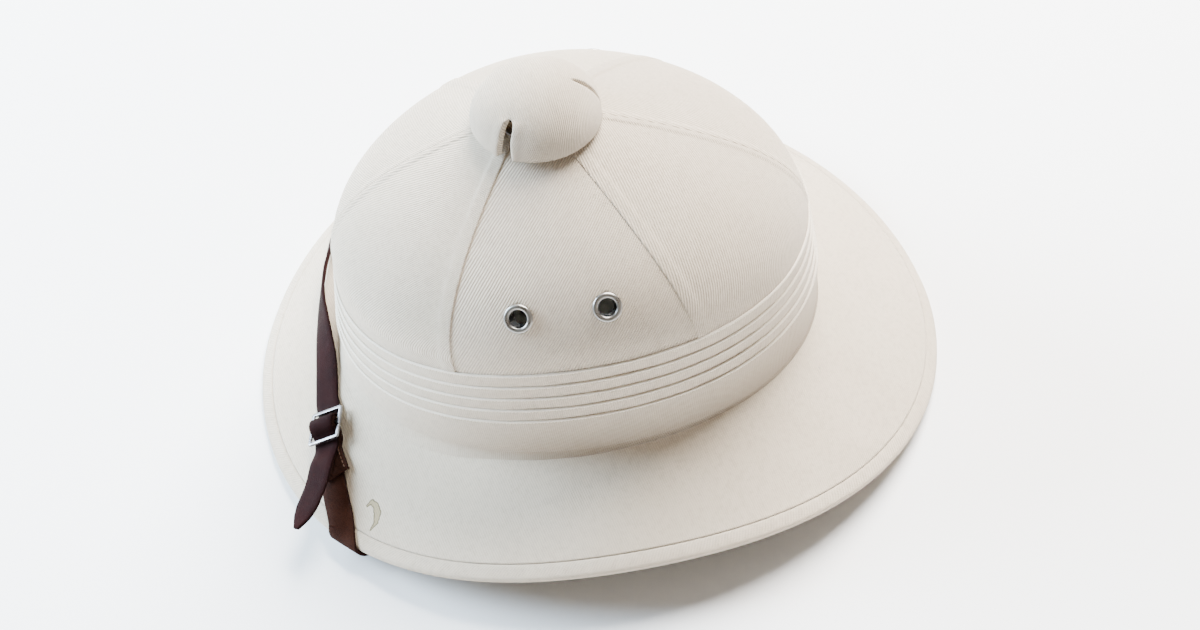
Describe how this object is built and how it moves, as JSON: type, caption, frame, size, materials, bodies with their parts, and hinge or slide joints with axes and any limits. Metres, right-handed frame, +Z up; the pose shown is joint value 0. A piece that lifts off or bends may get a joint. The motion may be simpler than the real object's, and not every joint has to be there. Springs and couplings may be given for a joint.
{
  "type": "pith helmet",
  "caption": "Off-white twill pith helmet with a pleated band, a lobed ventilator cap, metal eyelets and a brown leather chin strap over the brim.",
  "frame": {"origin": "on the floor under the middle of the brim's bounding box; the helmet lies on the front and the back of its brim", "axes": "+Z up through the crown, -Y to the front of the helmet, +X to the wearer's left"},
  "size_m": [0.2914, 0.3302, 0.184],
  "materials": {
    "twill": "off-white cotton twill, matt",
    "pith": "plain cloth lining over pressed pith, matt",
    "leather": "dark reddish brown, satin, lighter raw edges",
    "nickel": "nickel plate, lightly worn"
  },
  "bodies": {
    "root": {"helmet_body": "pith", "brim_cover": "twill", "brim_binding": "twill", "pleat_1": "twill", "pleat_2": "twill", "pleat_3": "twill", "pleat_4": "twill", "band_base": "twill", "panel_front_left": "twill", "panel_left": "twill", "panel_back_left": "twill", "panel_back_right": "twill", "panel_right": "twill", "panel_front_right": "twill", "eyelet_left_front": "nickel", "eyelet_left_back": "nickel", "eyelet_right_back": "nickel", "eyelet_right_front": "nickel", "vent_cap": "twill", "vent_neck": "nickel", "chin_strap": "leather", "buckle_strap": "leather", "strap_buckle": "nickel"}
  },
  "joints": []
}
